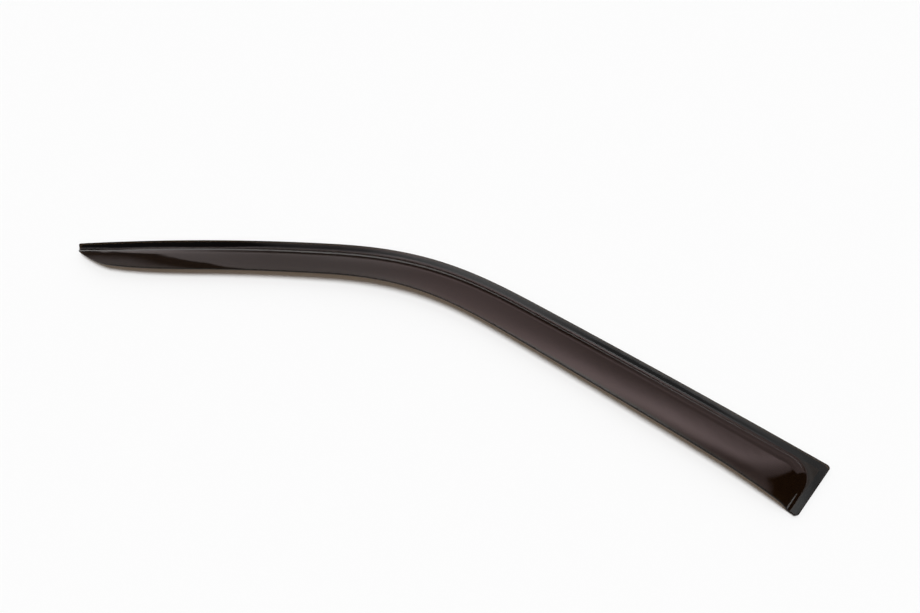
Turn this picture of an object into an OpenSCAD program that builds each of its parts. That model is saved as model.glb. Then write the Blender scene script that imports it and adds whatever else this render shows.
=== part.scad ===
/*
Window rain deflector for a front side window, for one side of the car.
A long moulded band of smoked acrylic. Its flange is taped to the door frame, and its face
stands off the glass and ends in a free lip, so that the window can be open in rain.
It lies on its tape, as on a table: the door frame's surface is the plane z = 0.
X runs along the chord from the front tip to the rear top corner, Y towards the top edge and
Z out of the car. The origin lies under the middle of the whole part.
The two lengths used everywhere are s, along the top edge from the tip, and d, straight
across the band from the top edge towards the lip.
*/

/* [Top edge] */
// Straight distance from the front tip to the rear top corner
chord = 1002; // [900:1:1100]
// Slow turn of the edge along the windscreen pillar, in degrees
front_turn = 7; // [4:0.5:10]
// Turn of the edge where the pillar meets the roof, in degrees
bend_turn = 29.5; // [22:0.5:33]
// Slow turn of the edge along the roof, in degrees
rear_turn = 1.7; // [0:0.1:4]
// Share of the edge's length at which the bend begins
bend_from = 0.315; // [0.27:0.005:0.35]
// Share of the edge's length at which the bend ends
bend_to = 0.642; // [0.6:0.005:0.7]

/* [Band] */
// Width of the band at the front, before the nose narrows it
width_front = 55; // [48:0.5:62]
// Width of the band at the rear, before the corner flares
width_rear = 70; // [62:0.5:76]
// How late along the band the width grows
width_growth = 1.5; // [1:0.1:2]
// Extra width at the rear corner, where the lip comes down to the flange
corner_flare = 4; // [0:0.5:8]
// Length over which the rear corner flares
corner_flare_len = 110; // [60:5:140]
// Thickness of the acrylic
wall = 3; // [2.4:0.1:4]
// Bevel that softens every outer edge of the acrylic
edge_bevel = 0.5; // [0.2:0.05:0.8]

/* [Nose] */
// Length over which the front end narrows
nose_len = 194; // [170:2:215]
// Fullness of the nose: 2 is a quarter ellipse, more is squarer
nose_power = 2.5; // [2.2:0.05:2.8]
// Length of the blunt end at the very tip
tip_end = 15.5; // [14:0.5:17]
// Lean of the blunt end away from square, in degrees
tip_lean = 21; // [0:1:25]
// Corner radius at the top of the tip
tip_corner_r = 3; // [1:0.5:4]
// How much lower the face runs at the nose
nose_sink = 1.3; // [0:0.1:2.5]
// Length over which the face comes up from there
nose_sink_len = 260; // [200:10:320]

/* [Flange and shoulder] */
// Width of the flat flange along the top edge
flange_w = 10.8; // [10:0.1:13]
// Width of the flange at the tip
flange_tip_w = 8.5; // [7.5:0.1:10]
// Length over which the flange widens from the tip
flange_grow_len = 60; // [40:5:90]
// Width of the flange along the rear edge
rear_flange_w = 9.4; // [8.5:0.1:11]
// Width of the hollow that turns the flange up into the shoulder
fillet_w = 4; // [2:0.2:5]
// Height that the shoulder adds to the slope of the face
shoulder_h = 4; // [2.5:0.1:5.5]
// Width over which the shoulder eases into the face
shoulder_w = 15.5; // [12:0.5:20]

/* [Face] */
// Height of the lip above the flange along the pillar and the roof
lip_rise = 12.7; // [8:0.1:18]
// Extra height of the lip at the bend
bend_rise = 3; // [0:0.1:5]
// Share of the edge's length at which the lip stands highest
bend_rise_at = 0.44; // [0.35:0.01:0.55]
// Share of the edge's length over which the extra height fades
bend_rise_spread = 0.13; // [0.08:0.01:0.2]
// Crown of the face: 1 is a flat slope, more is rounder
crown = 1.3; // [1:0.05:1.8]

/* [Rear end] */
// Angle inside the rear top corner, in degrees
rear_angle = 79.5; // [74:0.5:90]
// Length over which the slant of the rear edge fades
rear_fan_len = 150; // [100:10:200]
// Length over which the lip rises from the rear end
rear_rise_len = 160; // [100:5:200]
// Radius of the face's rounded rear corner
face_corner_r = 30; // [16:1:32]
// Corner radius of the flange at the top of the rear edge
rear_corner_r = 4.5; // [3:0.1:6]
// Corner radius of the flange at the bottom of the rear edge
low_corner_r = 3.5; // [2.5:0.1:5]

/* [Foam tape] */
// Thickness of the tape
tape_t = 1; // [0.6:0.1:1.6]
// Width of the long strip under the top edge
tape_w = 8.2; // [6:0.1:8.8]
// Width of the short strip under the rear edge
rear_tape_w = 6; // [4:0.1:7.5]
// Margin between the acrylic's edge and the tape
tape_margin = 0.5; // [0.3:0.1:1]
// Distance from the tip to the start of the long strip
tape_start = 3; // [2.5:0.5:12]
// Gap where the short strip begins, next to the long one
tape_joint_gap = 0.5; // [0.3:0.1:2]
// Distance from the lower rear corner to the end of the short strip
tape_end_gap = 4; // [3:0.5:10]

/* [Hidden] */

smoke = [0.16, 0.12, 0.11, 0.85];
foam = [0.1, 0.1, 0.1];

// Steps in which the top edge is added up
edge_steps = 400;
// Points across the flat flange, as shares of its width
flange_marks = [0, 0.4, 0.8];
// Steps across the hollow, the shoulder and the face
fillet_steps = 4;
shoulder_steps = 6;
face_steps = 9;
// Least width kept for the flange and for the face where a corner cuts into them
least_flange = 1;
least_face = 2;
// Flat left between the two bevels at the ends of the band
end_flat = 0.05;
// Cross-sections of the nose, how far along the band they reach, and the gap before them
nose_rows = 14;
nose_reach = 78;
nose_gap = 0.3;
// Cross-sections of the flange's corners and how they crowd to the edge, and those of the rear shoulder
corner_rows = 5;
corner_crowding = 1.6;
rear_shoulder_rows = 12;
// Cross-sections behind the rear shoulder, the first gap between them and its growth
rear_rows = 10;
rear_gap = 3;
rear_gap_growth = 0.4;
// Spacing of the cross-sections along the plain middle
plain_pitch = 14;
// Points along each side of the long strip of tape
tape_steps = 84;

flange_z = tape_t + wall;

// Eases from 0 to 1
function ease(x) = let (k = min(1, max(0, x))) k * k * (3 - 2 * k);
// A quarter of an ellipse, rising steeply from 0 to 1
function round_rise(x) = let (k = min(1, max(0, x))) sqrt(1 - (1 - k) * (1 - k));
// Starts level at 0 and runs on at full slope after the hollow's width
function run_up(x) = x <= 0 ? 0 : x < fillet_w ? x * x / (2 * fillet_w) : x - fillet_w / 2;
// How far a rounded corner of radius r cuts in at distance x from its side
function corner_cut(r, x) = x >= r ? 0 : r - sqrt(r * r - (r - x) * (r - x));

// Heading of the top edge at share t of its length, counted from the tip's own heading
function turn(t) =
    -front_turn * min(1, t / bend_from)
    - bend_turn * ease((t - bend_from) / (bend_to - bend_from))
    - rear_turn * max(0, (t - bend_to) / (1 - bend_to));

function heading_step(i) = let (h = turn((i + 0.5) / edge_steps)) [cos(h), sin(h)] / edge_steps;

// The edge at unit length, added up step by step
raw_edge = [
    for (i = 0, p = [0, 0]; i <= edge_steps; p = p + heading_step(i), i = i + 1) p
];
raw_end = raw_edge[edge_steps];
edge_len = chord / norm(raw_end);
tip_heading = -atan2(raw_end.y, raw_end.x);

function spin(p, a) = [p.x * cos(a) - p.y * sin(a), p.x * sin(a) + p.y * cos(a)];

// Point of the top edge at length s
function edge_at(s) =
    let (k = min(edge_steps, max(0, s / edge_len * edge_steps)), i = min(edge_steps - 1, floor(k)), f = k - i)
    edge_len * spin(raw_edge[i] * (1 - f) + raw_edge[i + 1] * f, tip_heading);

function heading(s) = tip_heading + turn(s / edge_len);

// Slant of a cross-section against the square one: at the tip, and at the rear edge
function slant(s) =
    tip_lean * (1 - ease(s / flange_grow_len))
    - (90 - rear_angle) * ease(1 - (edge_len - s) / rear_fan_len);

// Point at length s and distance d across the band
function plan(s, d) =
    let (a = heading(s) - 90 + slant(s))
    edge_at(s) + d / cos(slant(s)) * [cos(a), sin(a)];

// Distance of the cross-section at s from the rear edge
function to_rear(s) = (edge_len - s) * sin(rear_angle);

// Width of the band without its nose, and the share of it that the rounded nose leaves
function body_width(s) =
    width_front + (width_rear - width_front) * pow(s / edge_len, width_growth)
    + corner_flare * pow(max(0, 1 - (edge_len - s) / corner_flare_len), 2);
function nose_share(x) = let (k = min(1, max(0, x))) pow(1 - pow(1 - k, nose_power), 1 / nose_power);
tip_from = 1 - pow(1 - pow(tip_end / width_front, nose_power), 1 / nose_power);
function band_width(s) = body_width(s) * nose_share(tip_from + s / nose_len);

// Distance across the band at which the flange ends, and the same with the rear corner rounded
function flange_at(s) = flange_tip_w + (flange_w - flange_tip_w) * ease(s / flange_grow_len);
function face_from(s) = flange_at(s) + corner_cut(face_corner_r, max(0, to_rear(s) - rear_flange_w));

// Distance inside the line at which the flange ends, rounded at the rear corner
function inside(s, d) =
    let (a = d - flange_at(s), e = to_rear(s) - rear_flange_w, r = face_corner_r)
    a >= r ? min(a, e) : e >= r ? a : r - norm([r - a, r - e]);

// Height of the lip above the shoulder
function lip_height(s) =
    let (
        hump = bend_rise * exp(-pow((s / edge_len - bend_rise_at) / bend_rise_spread, 2)),
        sink = nose_sink * (1 - ease(s / nose_sink_len))
    )
    (lip_rise - shoulder_h + hump - sink) * round_rise(run_up(to_rear(s) - rear_flange_w) / rear_rise_len);

// Height of the outer surface: flange, shoulder and crowned face. The nose only trims the band,
// so the curve of the face there is the one of the whole width.
function top_z(s, d) =
    let (
        from = face_from(s),
        whole = max(least_face, body_width(s) - from - fillet_w / 2),
        q = min(1, run_up(d - from) / whole),
        k = min(1, run_up(inside(s, d)) / shoulder_w)
    )
    flange_z + shoulder_h * (1 - pow(1 - k, 2)) + lip_height(s) * (1 - pow(1 - q, crown));

// Where a cross-section starts and ends, with the rounded corners of the flange
function start_d(s) = corner_cut(rear_corner_r, to_rear(s)) + corner_cut(tip_corner_r, s);
function end_d(s) = band_width(s) - corner_cut(low_corner_r, to_rear(s));

// Distances across the band at which the outer surface is drawn
function section_d(s) =
    let (
        a = start_d(s) + edge_bevel,
        b = end_d(s) - edge_bevel,
        c = min(max(face_from(s), a + least_flange), b - least_face),
        f = min(fillet_w, (b - c) / 3),
        w = min(shoulder_w, (b - c - f) / 2)
    )
    concat(
        [for (m = flange_marks) a + (c - a) * m],
        [for (i = [0:fillet_steps - 1]) c + f * i / fillet_steps],
        [for (i = [0:shoulder_steps - 1]) c + f + w * i / shoulder_steps],
        [for (i = [0:face_steps]) c + f + w + (b - c - f - w) * i / face_steps]
    );

// One closed cross-section: outer surface from edge to lip, then the inner one back.
// squash is the bevel that is taken off all round at the two ends of the band.
function section(s, squash = 0) =
    let (
        ds = section_d(s),
        n = len(ds),
        a = start_d(s),
        b = end_d(s),
        za = top_z(s, a),
        zb = top_z(s, b),
        bevel = max(edge_bevel, squash + end_flat)
    )
    concat(
        [[plan(s, a), za - bevel]],
        [for (d = ds) [plan(s, d), top_z(s, d) - squash]],
        [[plan(s, b), zb - bevel], [plan(s, b), zb - wall + bevel]],
        [for (i = [n - 1:-1:0]) [plan(s, ds[i]), top_z(s, ds[i]) - wall + squash]],
        [[plan(s, a), za - wall + bevel]]
    );

// Lengths at which cross-sections are drawn: close together at the nose and the rear end
nose_stations = [
    for (k = [1:nose_rows]) edge_bevel + nose_gap + nose_reach * pow(k / nose_rows, 2)
];
corner_reach = max(low_corner_r, rear_corner_r) + edge_bevel;
shoulder_start = rear_flange_w + fillet_w;
shoulder_end = shoulder_start + shoulder_w;
rear_gaps = concat(
    [for (k = [1:corner_rows]) corner_reach * pow(k / corner_rows, corner_crowding)],
    [for (k = [0:fillet_steps - 1]) rear_flange_w + fillet_w * k / fillet_steps],
    [for (k = [0:rear_shoulder_rows - 1]) shoulder_start + shoulder_w * k / rear_shoulder_rows],
    [for (k = [0:rear_rows - 1]) shoulder_end + rear_gap * k + rear_gap_growth * k * k]
);
rear_stations = [for (i = [len(rear_gaps) - 1:-1:0]) edge_len - rear_gaps[i] / sin(rear_angle)];
plain_from = nose_stations[nose_rows - 1];
plain_to = rear_stations[0];
plain_count = ceil((plain_to - plain_from) / plain_pitch);
plain_stations = [
    for (i = [1:plain_count - 1]) plain_from + (plain_to - plain_from) * i / plain_count
];
stations = concat([edge_bevel], nose_stations, plain_stations, rear_stations);

// Corners of the band in plan, and the middle of the box round them
outline = [for (s = stations) each [plan(s, start_d(s)), plan(s, end_d(s))]];
middle = [
    min([for (p = outline) p.x]) + max([for (p = outline) p.x]),
    min([for (p = outline) p.y]) + max([for (p = outline) p.y])
] / 2;

// Moves what is drawn from the tip to its place in the part's frame
module placed() translate([-middle.x, -middle.y, 0]) children();

// Joins closed cross-sections of equal point count into one solid
module loft(loops) {
    n = len(loops[0]);
    rows = len(loops);
    points = [for (loop = loops) for (p = loop) [p[0].x, p[0].y, p[1]]];
    sides = [
        for (r = [0:rows - 2]) for (i = [0:n - 1])
            let (j = (i + 1) % n, a = r * n + i, b = r * n + j, c = a + n, d = b + n)
            each [[a, d, b], [a, c, d]]
    ];
    near_cap = [for (i = [0:n - 1]) i];
    far_cap = [for (i = [n - 1:-1:0]) (rows - 1) * n + i];
    polyhedron(points, concat([near_cap], sides, [far_cap]), convexity = 10);
}

// The whole acrylic moulding: flange, shoulder, crowned face, lip and closed rear end
module visor() {
    color(smoke)
    placed()
    loft(concat(
        [section(0, edge_bevel)],
        [for (s = stations) section(s)],
        [section(edge_len, edge_bevel)]
    ));
}

// Long strip of foam tape under the flange, along the whole top edge
module tape_upper() {
    s_end = edge_len - tape_margin / sin(rear_angle);
    ss = [for (i = [0:tape_steps]) tape_start + (s_end - tape_start) * i / tape_steps];
    color(foam)
    placed()
    linear_extrude(tape_t)
    polygon(concat(
        [for (s = ss) plan(s, tape_margin + corner_cut(rear_corner_r, to_rear(s)))],
        [for (i = [tape_steps:-1:0]) plan(ss[i], tape_margin + tape_w)]
    ));
}

// Short strip of foam tape under the rear edge, from the long strip to the lower corner
module tape_rear() {
    s_out = edge_len - tape_margin / sin(rear_angle);
    s_in = s_out - rear_tape_w / sin(rear_angle);
    d_top = tape_margin + tape_w + tape_joint_gap;
    d_low = band_width(edge_len) - tape_end_gap;
    color(foam)
    placed()
    linear_extrude(tape_t)
    polygon([plan(s_in, d_top), plan(s_out, d_top), plan(s_out, d_low), plan(s_in, d_low)]);
}

visor();
tape_upper();
tape_rear();
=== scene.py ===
"""Window rain deflector: looks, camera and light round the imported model, in metres and in its frame."""
import math

import bpy
import numpy as np
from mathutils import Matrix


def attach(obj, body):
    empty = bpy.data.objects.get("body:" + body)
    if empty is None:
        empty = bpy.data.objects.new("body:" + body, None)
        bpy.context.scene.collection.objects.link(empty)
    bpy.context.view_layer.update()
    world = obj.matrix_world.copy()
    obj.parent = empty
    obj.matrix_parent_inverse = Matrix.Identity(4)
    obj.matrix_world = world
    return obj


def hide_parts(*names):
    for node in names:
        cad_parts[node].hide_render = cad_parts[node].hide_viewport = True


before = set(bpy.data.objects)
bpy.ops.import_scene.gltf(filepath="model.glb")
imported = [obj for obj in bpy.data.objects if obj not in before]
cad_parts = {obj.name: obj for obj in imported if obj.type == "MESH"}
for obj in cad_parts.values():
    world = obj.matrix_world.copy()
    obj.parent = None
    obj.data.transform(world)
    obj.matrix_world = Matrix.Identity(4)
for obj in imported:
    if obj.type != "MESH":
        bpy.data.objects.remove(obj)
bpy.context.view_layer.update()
scene = bpy.context.scene

# The part's own sizes, in millimetres and degrees. Along the top edge they run from the front tip.
CHORD = 1002.0
FRONT_TURN, BEND_TURN, REAR_TURN = 7.0, 29.5, 1.7
BEND_FROM, BEND_TO = 0.315, 0.642
WIDTH_FRONT, WIDTH_REAR, WIDTH_GROWTH = 55.0, 70.0, 1.5
CORNER_FLARE, CORNER_FLARE_LEN = 4.0, 110.0
WALL = 3.0
NOSE_LEN, NOSE_POWER, TIP_END, TIP_LEAN, TIP_CORNER_R = 194.0, 2.5, 15.5, 21.0, 3.0
FLANGE_W, FLANGE_TIP_W, FLANGE_GROW_LEN, REAR_FLANGE_W = 10.8, 8.5, 60.0, 9.4
FILLET_W, SHOULDER_H, SHOULDER_W = 4.0, 4.0, 15.5
LIP_RISE, BEND_RISE, BEND_RISE_AT, BEND_RISE_SPREAD, CROWN = 12.7, 3.0, 0.44, 0.13, 1.3
NOSE_SINK, NOSE_SINK_LEN = 1.3, 260.0
REAR_ANGLE, REAR_FAN_LEN, REAR_RISE_LEN = 79.5, 150.0, 160.0
FACE_CORNER_R, REAR_CORNER_R, LOW_CORNER_R = 30.0, 4.5, 3.5
TAPE_T, TAPE_W, REAR_TAPE_W = 1.0, 8.2, 6.0
TAPE_MARGIN, TAPE_START, TAPE_JOINT_GAP, TAPE_END_GAP = 0.5, 3.0, 0.5, 4.0
FLANGE_Z = TAPE_T + WALL
LEAST_FLANGE, LEAST_FACE = 0.5, 2.0
REAR_SINE = math.sin(math.radians(REAR_ANGLE))
MM = 0.001

# Share of the full slope against the distance from the hollow's start: the moulding eases in on the flange
HOLLOW_X = np.array([-6.0, -4.5, -2.2, -0.8, 1.6, 2.6, 3.6, 5.0])
HOLLOW_SLOPE = np.array([0.0, -0.025, -0.03, 0.02, 0.13, 0.78, 1.18, 1.0])
HOLLOW_STEPS = 200


def ease(x):
    k = np.clip(x, 0, 1)
    return k * k * (3 - 2 * k)


def round_rise(x):
    k = np.clip(x, 0, 1)
    return np.sqrt(np.maximum(0, 1 - (1 - k) ** 2))


def run_up(x):
    """Level at 0, then at full slope once past the width of the hollow."""
    x = np.maximum(0, x)
    return np.where(x < FILLET_W, x * x / (2 * FILLET_W), x - FILLET_W / 2)


def run_up_eased(x):
    """As run_up, with a light start on the flange, and with the same line past the hollow."""
    fine = np.linspace(HOLLOW_X[0], HOLLOW_X[-1], HOLLOW_STEPS)
    slope = np.interp(fine, HOLLOW_X, HOLLOW_SLOPE)
    rise = np.concatenate([[0], np.cumsum((slope[1:] + slope[:-1]) / 2) * (fine[1] - fine[0])])
    rise *= (HOLLOW_X[-1] - FILLET_W / 2) / rise[-1]
    return np.where(x < HOLLOW_X[-1], np.interp(x, fine, rise), x - FILLET_W / 2)


def corner_cut(r, x):
    """How far a corner of radius r cuts in at the distance x from its side."""
    x = np.asarray(x, float)
    near = r - np.clip(x, 0, r)
    return np.where(x >= r, 0.0, r - np.sqrt(np.maximum(0, r * r - near * near)))


def turn(t):
    """Heading of the top edge at the share t of its length, against its heading at the tip."""
    return (-FRONT_TURN * np.minimum(1, t / BEND_FROM)
            - BEND_TURN * ease((t - BEND_FROM) / (BEND_TO - BEND_FROM))
            - REAR_TURN * np.maximum(0, (t - BEND_TO) / (1 - BEND_TO)))


# The top edge, walked in small steps and then turned so that its ends lie level
EDGE_STEPS = 400
step_angles = np.radians(turn((np.arange(EDGE_STEPS) + 0.5) / EDGE_STEPS))
steps = np.stack([np.cos(step_angles), np.sin(step_angles)], 1) / EDGE_STEPS
raw_edge = np.vstack([[0, 0], np.cumsum(steps, 0)])
EDGE_LEN = CHORD / np.hypot(*raw_edge[-1])
TIP_HEADING = -np.degrees(np.arctan2(raw_edge[-1][1], raw_edge[-1][0]))
cos_tip, sin_tip = math.cos(math.radians(TIP_HEADING)), math.sin(math.radians(TIP_HEADING))
edge_points = EDGE_LEN * raw_edge @ np.array([[cos_tip, sin_tip], [-sin_tip, cos_tip]])


# In what follows s is the way along the top edge and d the way down from it, both in millimetres
def edge_at(s):
    k = np.clip(np.asarray(s, float) / EDGE_LEN * EDGE_STEPS, 0, EDGE_STEPS)
    grid = np.arange(EDGE_STEPS + 1)
    return np.stack([np.interp(k, grid, edge_points[:, 0]), np.interp(k, grid, edge_points[:, 1])], -1)


def slant(s):
    return (TIP_LEAN * (1 - ease(s / FLANGE_GROW_LEN))
            - (90 - REAR_ANGLE) * ease(1 - (EDGE_LEN - s) / REAR_FAN_LEN))


def plan(s, d):
    a = np.radians(TIP_HEADING + turn(s / EDGE_LEN) - 90 + slant(s))
    k = d / np.cos(np.radians(slant(s)))
    return edge_at(s) + np.stack([k * np.cos(a), k * np.sin(a)], -1)


def to_rear(s):
    return (EDGE_LEN - s) * REAR_SINE


def body_width(s):
    return (WIDTH_FRONT + (WIDTH_REAR - WIDTH_FRONT) * (s / EDGE_LEN) ** WIDTH_GROWTH
            + CORNER_FLARE * np.maximum(0, 1 - (EDGE_LEN - s) / CORNER_FLARE_LEN) ** 2)


TIP_SHARE = 1 - (1 - (TIP_END / WIDTH_FRONT) ** NOSE_POWER) ** (1 / NOSE_POWER)


def band_width(s):
    k = np.clip(TIP_SHARE + s / NOSE_LEN, 0, 1)
    return body_width(s) * (1 - (1 - k) ** NOSE_POWER) ** (1 / NOSE_POWER)


def flange_at(s):
    return FLANGE_TIP_W + (FLANGE_W - FLANGE_TIP_W) * ease(s / FLANGE_GROW_LEN)


def face_from(s):
    return flange_at(s) + corner_cut(FACE_CORNER_R, np.maximum(0, to_rear(s) - REAR_FLANGE_W))


def inside(s, d):
    """How far a point lies inside the line where the flange ends, round its rear corner too."""
    a, e, r = d - flange_at(s), to_rear(s) - REAR_FLANGE_W, FACE_CORNER_R
    return np.where(a >= r, np.minimum(a, e), np.where(e >= r, a, r - np.hypot(r - a, r - e)))


def lip_height(s):
    hump = BEND_RISE * np.exp(-((s / EDGE_LEN - BEND_RISE_AT) / BEND_RISE_SPREAD) ** 2)
    sink = NOSE_SINK * (1 - ease(s / NOSE_SINK_LEN))
    rear = round_rise(run_up(to_rear(s) - REAR_FLANGE_W) / REAR_RISE_LEN)
    return (LIP_RISE - SHOULDER_H + hump - sink) * rear


def top_z(s, d):
    begin = face_from(s)
    face = np.maximum(LEAST_FACE, body_width(s) - begin - FILLET_W / 2)
    q = np.minimum(1, run_up_eased(d - begin) / face)
    k = np.minimum(1, run_up_eased(inside(s, d)) / SHOULDER_W)
    return FLANGE_Z + SHOULDER_H * (1 - (1 - k) ** 2) + lip_height(s) * (1 - (1 - q) ** CROWN)


def start_d(s):
    return corner_cut(REAR_CORNER_R, to_rear(s)) + corner_cut(TIP_CORNER_R, s)


def end_d(s):
    return band_width(s) - corner_cut(LOW_CORNER_R, to_rear(s))


# The middle of the band's box, which lies over the frame's origin. Its outline is walked in finer steps
# near both ends: from, to, number of points.
WALK = ((0.5, 90, 400), (90, EDGE_LEN - 40, 900), (EDGE_LEN - 40, EDGE_LEN - 0.3, 400))
walked = np.concatenate([np.linspace(*leg) for leg in WALK])
outline = np.concatenate([plan(walked, start_d(walked)), plan(walked, end_d(walked))])
MIDDLE = (outline.min(0) + outline.max(0)) / 2


def make_mesh(name, points, faces, shade_smooth=True):
    mesh = bpy.data.meshes.new(name)
    mesh.from_pydata([tuple(p) for p in points], [], faces)
    mesh.validate()
    mesh.update()
    if shade_smooth:
        mesh.polygons.foreach_set("use_smooth", [True] * len(mesh.polygons))
    obj = bpy.data.objects.new(name, mesh)
    scene.collection.objects.link(obj)
    return obj


def loft_faces(rows, n):
    """Quads between closed loops of n points, and quads across each end, whose loop folds onto itself."""
    faces = []
    for r in range(rows - 1):
        for i in range(n):
            a, b = r * n + i, r * n + (i + 1) % n
            faces.append((a, b, b + n, a + n))
    last = (rows - 1) * n
    for i in range(n // 2 - 1):
        faces.append((i, n - 1 - i, n - 2 - i, i + 1))
        faces.append((last + i, last + i + 1, last + n - 2 - i, last + n - 1 - i))
    return faces


def join_sides(xy, top, bottom):
    """Closed loops of points: along the upper side, then back along the lower one."""
    upper = np.concatenate([xy, top[..., None]], -1)
    lower = np.concatenate([xy, bottom[..., None]], -1)[:, ::-1]
    return np.concatenate([upper, lower], 1)


def loft(name, loops):
    return make_mesh(name, loops.reshape(-1, 3) * MM, loft_faces(*loops.shape[:2]))


# Acrylic moulding: closed cross-sections with rounded edges, close together at the nose and the rear.
# The rows are cross-sections. Near the ends they are placed in millimetres from that end.
EDGE_R = 0.3
ARC_POINTS = 5
NOSE_FIRST, NOSE_LAST, NOSE_ROWS, NOSE_CROWDING = 0.6, 90.0, 46, 1.7
MIDDLE_ROWS = 190
REAR_FLANGE_ROWS = [0.9, 1.3, 1.8, 2.4, 3.1, 3.9, 4.7, 5.6, 6.5]
REAR_HOLLOW_FROM, REAR_HOLLOW_ROWS = -0.3, 14
REAR_SHOULDER_ROWS = 36
REAR_FACE_LEN, REAR_FACE_ROWS, REAR_FACE_CROWDING = 110, 50, 1.5

# Points of a cross-section: on the flange and on the face as shares of their widths, elsewhere in even steps
FLANGE_SHARES = np.array([0, 0.02, 0.12, 0.26, 0.4, 0.5, 0.58, 0.66, 0.73, 0.8, 0.86, 0.91, 0.96])
HOLLOW_POINTS, SHOULDER_POINTS = 12, 20
FACE_SHARES = np.concatenate([np.linspace(0, 0.97, 22), [0.99, 1]])


def visor_rows():
    """Where the cross-sections stand along the top edge, and how far each rounds in from both sides."""
    even = np.linspace
    nose = NOSE_FIRST + (NOSE_LAST - NOSE_FIRST) * even(0, 1, NOSE_ROWS)[1:] ** NOSE_CROWDING
    shoulder_at = REAR_FLANGE_W + FILLET_W
    face_at = shoulder_at + SHOULDER_W
    off_rear = np.concatenate([
        REAR_FLANGE_ROWS,
        REAR_FLANGE_W + FILLET_W * even(REAR_HOLLOW_FROM, 1, REAR_HOLLOW_ROWS)[:-1],
        shoulder_at + SHOULDER_W * even(0, 1, REAR_SHOULDER_ROWS),
        face_at + REAR_FACE_LEN * even(0, 1, REAR_FACE_ROWS)[1:] ** REAR_FACE_CROWDING])
    rear = EDGE_LEN - off_rear[::-1] / REAR_SINE
    middle = even(nose[-1], rear[0], MIDDLE_ROWS)[1:-1]
    s = np.concatenate([nose, middle, rear])
    arc = even(0, np.pi / 2, ARC_POINTS)
    rounding_in, rounding_out = EDGE_R * (1 - np.sin(arc)), EDGE_R * (1 - np.cos(arc))
    squash = np.concatenate([rounding_in, np.zeros(len(s)), rounding_out])
    s = np.concatenate([rounding_out, s, EDGE_LEN - rounding_in])
    return np.clip(s, 0, EDGE_LEN), squash


def spread(begin, width, shares):
    return begin[:, None] + width[:, None] * shares


def visor_piece():
    s, squash = visor_rows()
    first, last = start_d(s), end_d(s)
    lo, hi = first + EDGE_R, last - EDGE_R
    # Where each strip of the section begins. Near the tip the band is too narrow for their full widths.
    hollow = np.minimum(np.maximum(face_from(s), lo + LEAST_FLANGE), hi - LEAST_FACE)
    hollow_w = np.minimum(FILLET_W, (hi - hollow) / 3)
    shoulder = hollow + hollow_w
    shoulder_w = np.minimum(SHOULDER_W, (hi - shoulder) / 2)
    face = shoulder + shoulder_w
    d_mid = np.concatenate([spread(lo, hollow - lo, FLANGE_SHARES),
                            spread(hollow, hollow_w, np.arange(HOLLOW_POINTS) / HOLLOW_POINTS),
                            spread(shoulder, shoulder_w, np.arange(SHOULDER_POINTS) / SHOULDER_POINTS),
                            spread(face, hi - face, FACE_SHARES)], 1)
    arc = np.linspace(0, np.pi / 2, ARC_POINTS)[:-1]
    inset, sink = EDGE_R * (1 - np.cos(arc)), EDGE_R * (1 - np.sin(arc))
    d = np.concatenate([first[:, None] + inset, d_mid, last[:, None] - inset[::-1]], 1)
    drop = np.concatenate([sink, np.zeros(d_mid.shape[1]), sink[::-1]])
    drop = np.maximum(drop[None], squash[:, None])
    along = np.broadcast_to(s[:, None], d.shape)
    top = top_z(along, d)
    obj = loft("smoked_visor", join_sides(plan(along, d) - MIDDLE, top - drop, top - WALL + drop))
    on_rim = np.zeros(d.shape)
    on_rim[:, :len(arc)] = 1
    on_rim[:, -len(arc):] = 1
    on_rim[:ARC_POINTS] = 1
    on_rim[-ARC_POINTS:] = 1
    rim = np.concatenate([on_rim, on_rim[:, ::-1]], 1)
    layer = obj.data.attributes.new("rim", "FLOAT", "POINT")
    layer.data.foreach_set("value", rim.reshape(-1).astype(np.float32))
    return obj


# Foam tape strips: a hair below the flange, so that the two surfaces don't lie on each other
TAPE_CLEARANCE, TAPE_EDGE_R = 0.1, 0.25
TAPE_TOP = TAPE_T - TAPE_CLEARANCE
TAPE_MID_POINTS = 7
TAPE_ROWS, REAR_TAPE_ROWS = 220, 24


def strip_piece(name, left, right):
    """A flat strip of tape between two lines of points, with rounded long edges."""
    across = right - left
    width = np.linalg.norm(across, axis=1)[:, None]
    arc = np.linspace(0, np.pi / 2, ARC_POINTS)
    inset, drop = TAPE_EDGE_R * (1 - np.cos(arc)), TAPE_EDGE_R * (1 - np.sin(arc))
    inner = np.linspace(0, 1, TAPE_MID_POINTS + 2)[1:-1]
    shares = np.concatenate([inset[None] / width,
                             np.broadcast_to(inner, (len(left), TAPE_MID_POINTS)),
                             1 - inset[None, ::-1] / width], 1)
    z = np.broadcast_to(np.concatenate([drop, np.zeros(TAPE_MID_POINTS), drop[::-1]]), shares.shape)
    xy = left[:, None] + across[:, None] * shares[..., None]
    return loft(name, join_sides(xy, TAPE_TOP - z, z))


def node(tree, kind, sockets=(), **settings):
    """A node. Each socket gets its constant value, or a link from the output that is given for it."""
    made = tree.nodes.new(kind)
    for key, value in settings.items():
        setattr(made, key, value)
    for key, value in dict(sockets).items():
        if isinstance(value, bpy.types.NodeSocket):
            tree.links.new(value, made.inputs[key])
        else:
            made.inputs[key].default_value = value
    return made


def fresh_material(name):
    mat = bpy.data.materials.new(name)
    mat.use_nodes = True
    mat.node_tree.nodes.clear()
    return mat, mat.node_tree


def noise(tree, place, scale, detail):
    sockets = {"Vector": place, "Scale": scale, "Detail": detail}
    return node(tree, "ShaderNodeTexNoise", sockets).outputs["Fac"]


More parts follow.
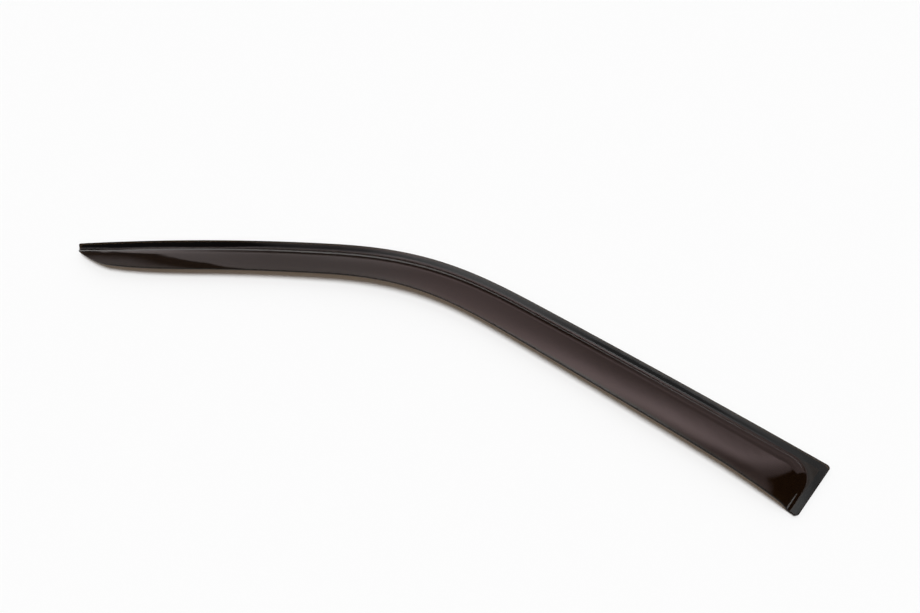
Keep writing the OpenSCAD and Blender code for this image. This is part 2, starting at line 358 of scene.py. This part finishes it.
# Smoked acrylic: gloss over a tint that light takes on at each surface, with faint ripple, dust and
# handling marks. The scales of the textures are in cells per metre.
TINT = (0.288, 0.23, 0.168, 1)
RIM_TINT = (0.05, 0.035, 0.025, 1)
ACRYLIC_IOR = 1.49
RIM_GLOSS = 0.35


def acrylic_material():
    mat, tree = fresh_material("smoked_acrylic")
    place = node(tree, "ShaderNodeTexCoord").outputs["Object"]
    rim = node(tree, "ShaderNodeAttribute", attribute_name="rim").outputs["Fac"]
    tint = node(tree, "ShaderNodeMix", {"A": TINT, "B": RIM_TINT, "Factor": rim}, data_type="RGBA")
    clear = node(tree, "ShaderNodeBsdfTransparent", {"Color": tint.outputs["Result"]})

    ripple = noise(tree, place, scale=26, detail=2)
    dust = noise(tree, place, scale=900, detail=3)
    marks = noise(tree, place, scale=60, detail=5)
    soft = node(tree, "ShaderNodeBump", {"Strength": 0.5, "Distance": 0.0003, "Height": ripple})
    bump = node(tree, "ShaderNodeBump", {"Strength": 0.06, "Distance": 0.00003, "Height": dust,
                                         "Normal": soft.outputs["Normal"]})
    rough = node(tree, "ShaderNodeMapRange", {"Value": marks, "From Min": 0.35, "From Max": 0.7,
                                              "To Min": 0.01, "To Max": 0.035})
    gloss = node(tree, "ShaderNodeBsdfGlossy", {"Roughness": rough.outputs["Result"],
                                                "Normal": bump.outputs["Normal"]})

    # The outside mirrors by Fresnel's law, the rim less and the inside not at all
    fresnel = node(tree, "ShaderNodeFresnel", {"IOR": ACRYLIC_IOR})
    geometry = node(tree, "ShaderNodeNewGeometry")
    outside = node(tree, "ShaderNodeMath", {0: 1, 1: geometry.outputs["Backfacing"]}, operation="SUBTRACT")
    share = node(tree, "ShaderNodeMath", {0: fresnel.outputs["Fac"], 1: outside.outputs["Value"]},
                 operation="MULTIPLY")
    matt = node(tree, "ShaderNodeMapRange", {"Value": rim, "To Min": 1, "To Max": RIM_GLOSS})
    kept = node(tree, "ShaderNodeMath", {0: share.outputs["Value"], 1: matt.outputs["Result"]},
                operation="MULTIPLY")
    mix = node(tree, "ShaderNodeMixShader", {"Fac": kept.outputs["Value"], 1: clear.outputs["BSDF"],
                                             2: gloss.outputs["BSDF"]})
    node(tree, "ShaderNodeOutputMaterial", {"Surface": mix.outputs["Shader"]})
    return mat


# Black foam: fine closed cells, with darker and paler patches
FOAM_DARK, FOAM_DARK_AT = (0.010, 0.010, 0.011, 1), 0.3
FOAM_PALE, FOAM_PALE_AT = (0.024, 0.024, 0.025, 1), 0.75


def foam_material():
    mat, tree = fresh_material("foam_tape")
    place = node(tree, "ShaderNodeTexCoord").outputs["Object"]
    cells = node(tree, "ShaderNodeTexVoronoi", {"Vector": place, "Scale": 2600}).outputs["Distance"]
    patches = noise(tree, place, scale=220, detail=4)
    ramp = node(tree, "ShaderNodeValToRGB", {"Fac": patches})
    dark, pale = ramp.color_ramp.elements
    dark.position, dark.color = FOAM_DARK_AT, FOAM_DARK
    pale.position, pale.color = FOAM_PALE_AT, FOAM_PALE
    rough = node(tree, "ShaderNodeMapRange", {"Value": cells, "To Min": 0.8, "To Max": 0.95})
    bump = node(tree, "ShaderNodeBump", {"Strength": 0.5, "Distance": 0.00008, "Height": cells})
    shader = node(tree, "ShaderNodeBsdfPrincipled", {"Base Color": ramp.outputs["Color"],
                                                     "Roughness": rough.outputs["Result"],
                                                     "Normal": bump.outputs["Normal"],
                                                     "Specular IOR Level": 0.3})
    node(tree, "ShaderNodeOutputMaterial", {"Surface": shader.outputs["BSDF"]})
    return mat


acrylic = acrylic_material()
foam = foam_material()

visor = visor_piece()
visor.data.materials.append(acrylic)
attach(visor, "root")
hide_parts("visor")

tape_end = EDGE_LEN - TAPE_MARGIN / REAR_SINE
tape_s = np.linspace(TAPE_START, tape_end, TAPE_ROWS)
upper_tape = strip_piece("foam_strip_upper",
                         plan(tape_s, TAPE_MARGIN + corner_cut(REAR_CORNER_R, to_rear(tape_s))) - MIDDLE,
                         plan(tape_s, np.full_like(tape_s, TAPE_MARGIN + TAPE_W)) - MIDDLE)
rear_d = np.linspace(TAPE_MARGIN + TAPE_W + TAPE_JOINT_GAP, float(band_width(EDGE_LEN)) - TAPE_END_GAP,
                     REAR_TAPE_ROWS)
rear_tape = strip_piece("foam_strip_rear",
                        plan(np.full_like(rear_d, tape_end), rear_d) - MIDDLE,
                        plan(np.full_like(rear_d, tape_end - REAR_TAPE_W / REAR_SINE), rear_d) - MIDDLE)
for piece, stands_for in ((upper_tape, "tape_upper"), (rear_tape, "tape_rear")):
    piece.data.materials.append(foam)
    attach(piece, "root")
    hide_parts(stands_for)

# Camera at the photograph's angle: its place in millimetres from the front tip, its turn in degrees
CAMERA_AT, CAMERA_TURN = (665.63, -276.87, 637.43), (30.002, 0.642, 18.314)
FOCAL_PIXELS, PHOTO_PIXELS, SENSOR = 560, 920, 36
camera_data = bpy.data.cameras.new("camera")
camera_data.sensor_fit = "HORIZONTAL"
camera_data.sensor_width = SENSOR
camera_data.lens = FOCAL_PIXELS / PHOTO_PIXELS * SENSOR
camera_data.clip_start = 0.01
camera = bpy.data.objects.new("camera", camera_data)
scene.collection.objects.link(camera)
camera.location = [(at - middle) * MM for at, middle in zip(CAMERA_AT, (*MIDDLE, 0))]
camera.rotation_euler = [math.radians(v) for v in CAMERA_TURN]
scene.camera = camera

# Pale floor, metres from its middle to each side
FLOOR = 14.0
floor_corners = [(-FLOOR, -FLOOR, 0), (FLOOR, -FLOOR, 0), (FLOOR, FLOOR, 0), (-FLOOR, FLOOR, 0)]
floor = make_mesh("floor", floor_corners, [(0, 1, 2, 3)], shade_smooth=False)
floor_material, tree = fresh_material("floor")
diffuse = node(tree, "ShaderNodeBsdfDiffuse", {"Color": (0.92, 0.92, 0.92, 1)})
node(tree, "ShaderNodeOutputMaterial", {"Surface": diffuse.outputs["BSDF"]})
floor.data.materials.append(floor_material)

# Key light from straight above: a lamp that isn't turned points down
lamp_data = bpy.data.lights.new("key", "SUN")
lamp_data.energy = 2.6
lamp_data.angle = math.radians(30)
lamp = bpy.data.objects.new("key", lamp_data)
scene.collection.objects.link(lamp)
lamp.visible_glossy = False

# Studio round the object, which the gloss mirrors: a lit wall behind it, a dim ceiling and a soft box on the
# camera's side. Directions are in degrees: azimuth 0 is +X and 90 is +Y, elevation 90 is straight up.
# Glows on the wall, each by azimuth, elevation, the spreads of both and strength
GLOWS = ((68.0, 58.7, 17.1, 2.61, 2.65), (71.9, 55.1, 33.8, 3.27, 1.05), (156.3, 53.5, 59.6, 20.37, 2.63),
         (106.5, 22.1, 38.6, 4.35, 0.57), (137.0, 62.8, 19.8, 21.66, -3.01), (61.1, 46.6, 9.7, 5.44, 1.46),
         (68.1, 53.7, 17.0, 10.74, -2.52), (72.4, 50.6, 15.4, 6.83, 3.02), (50.0, 46.4, 6.7, 2.03, 0.91),
         (117.7, 51.5, 4.3, 3.00, 1.00), (139.0, 10.0, 6.0, 15.0, 0.55),
         (37.0, 60.2, 4.0, 1.6, 0.7), (39.5, 56.7, 5.0, 1.4, -0.25))
WALL_BASE, GAIN = 0.477, 1.14
LOW_LIGHT, PLAIN_LIGHT = (1.19, 0.92, 0.93, 1), (1, 1, 1, 1)
FILL_SHARE, FILL_BASE = 0.3, 0.14
# Each range is of the angle that its name ends with: from, to, and the values there unless they are 0 and 1
LEFT_END_BY_EL, LEFT_SOFT_BY_EL = (26, 34, 141.2, 138.6), (43, 48, 0.6, 5.0)
RIGHT_END_BY_EL, RIGHT_END_LOW_BY_EL = (48.7, 52.3, 40.0, 29.7), (28, 46, -11.0, 0.0)
RIGHT_SOFT_BY_EL = (49.2, 50.6, 1.5, 4.8)
BEYOND_BY_AZ, BEYOND_BY_EL, BEYOND_TOP_BY_EL = (142, 147), (24, 30), (43, 38, 0.0, 0.616)
FOOT_BY_EL, FOOT_LEFT_BY_AZ, FOOT_RIGHT_BY_AZ = (8, 17), (122, 138), (84, 66, 0.0, 0.8)
CEILING_BY_EL, CEILING_BY_AZ = (58.5, 61), (125, 100, 0.0, 0.42)
DIMMEST_BY_AZ = (60, 100, 0.02, 0.09)
BOX_RIGHT_BY_AZ, BOX_LEFT_BY_AZ = (-25, -60), (-178, -150)
BOX_FOOT_BY_EL, BOX_TOP_BY_EL = (6, 20, 0.0, 0.7), (80, 60, 0.4, 1.0)
PLAINER_BY_EL, PLAINER_BY_AZ = (51, 57), (95, 125, 0.0, 0.55)

world = bpy.data.worlds.new("studio")
scene.world = world
world.use_nodes = True
tree = world.node_tree
tree.nodes.clear()


def calc(operation, *values):
    return node(tree, "ShaderNodeMath", dict(enumerate(values)), operation=operation).outputs[0]


def product(first, *others):
    for other in others:
        first = calc("MULTIPLY", first, other)
    return first


def smooth(value, start, stop, low=0.0, high=1.0):
    if start > stop:
        start, stop, low, high = stop, start, high, low
    sockets = {"Value": value, "From Min": start, "From Max": stop, "To Min": low, "To Max": high}
    return node(tree, "ShaderNodeMapRange", sockets, interpolation_type="SMOOTHSTEP").outputs["Result"]


def background(colour, strength=1.0):
    sockets = {"Color": colour, "Strength": strength}
    return node(tree, "ShaderNodeBackground", sockets).outputs["Background"]


def either(share, first, second):
    return node(tree, "ShaderNodeMixShader", {"Fac": share, 1: first, 2: second}).outputs["Shader"]


direction = node(tree, "ShaderNodeTexCoord").outputs["Generated"]
x, y, z = node(tree, "ShaderNodeSeparateXYZ", {0: direction}).outputs
az = calc("DEGREES", calc("ARCTAN2", y, x))
el = calc("DEGREES", calc("ARCSINE", z))

# The wall with its glows, cut off at its left and right ends
lit = WALL_BASE
for glow_az, glow_el, az_spread, el_spread, strength in GLOWS:
    u = calc("DIVIDE", calc("SUBTRACT", az, glow_az), az_spread)
    v = calc("DIVIDE", calc("SUBTRACT", el, glow_el), el_spread)
    off = calc("ADD", product(u, u), product(v, v))
    lit = calc("MULTIPLY_ADD", calc("EXPONENT", product(off, -1.0)), strength, lit)
past_left = calc("SUBTRACT", az, smooth(el, *LEFT_END_BY_EL))
left = smooth(calc("DIVIDE", past_left, smooth(el, *LEFT_SOFT_BY_EL)), 1.0, -1.0)
right_end = calc("ADD", smooth(el, *RIGHT_END_BY_EL), smooth(el, *RIGHT_END_LOW_BY_EL))
past_right = calc("SUBTRACT", az, right_end)
right = smooth(calc("DIVIDE", past_right, smooth(el, *RIGHT_SOFT_BY_EL)), -1.0, 1.0)
lit = product(lit, left, right)

# A second lit field beyond the wall's left end, the dark foot of both, and the ceiling
beyond = product(smooth(az, *BEYOND_BY_AZ), smooth(el, *BEYOND_BY_EL), smooth(el, *BEYOND_TOP_BY_EL))
lit = calc("MULTIPLY_ADD", beyond, calc("SUBTRACT", 1.0, left), lit)
foot_ends = calc("MAXIMUM", smooth(az, *FOOT_LEFT_BY_AZ), smooth(az, *FOOT_RIGHT_BY_AZ))
foot = calc("MAXIMUM", smooth(el, *FOOT_BY_EL), foot_ends)
ceiling = product(smooth(el, *CEILING_BY_EL), smooth(az, *CEILING_BY_AZ), right)
dimmest = calc("MAXIMUM", ceiling, smooth(az, *DIMMEST_BY_AZ))
lit = calc("MAXIMUM", product(lit, product(foot, GAIN)), dimmest)

box_across = product(smooth(az, *BOX_RIGHT_BY_AZ), smooth(az, *BOX_LEFT_BY_AZ))
box_upright = product(smooth(el, *BOX_FOOT_BY_EL), smooth(el, *BOX_TOP_BY_EL))
soft_box = product(box_across, box_upright)
plainer = calc("MAXIMUM", smooth(el, *PLAINER_BY_EL), smooth(az, *PLAINER_BY_AZ))
hue = node(tree, "ShaderNodeMix", {"A": LOW_LIGHT, "B": PLAIN_LIGHT, "Factor": plainer}, data_type="RGBA")

# The gloss mirrors the studio, matt surfaces get a paler copy of it, and the camera sees plain white
mirrored = background(hue.outputs["Result"], calc("MAXIMUM", lit, soft_box))
fill = background(PLAIN_LIGHT, calc("MULTIPLY_ADD", lit, FILL_SHARE, FILL_BASE))
path = node(tree, "ShaderNodeLightPath")
seen = calc("MAXIMUM", path.outputs["Is Camera Ray"], path.outputs["Is Transmission Ray"])
shown = either(seen, either(path.outputs["Is Glossy Ray"], fill, mirrored), background(PLAIN_LIGHT))
node(tree, "ShaderNodeOutputWorld", {"Surface": shown})

scene.view_settings.view_transform = "Standard"
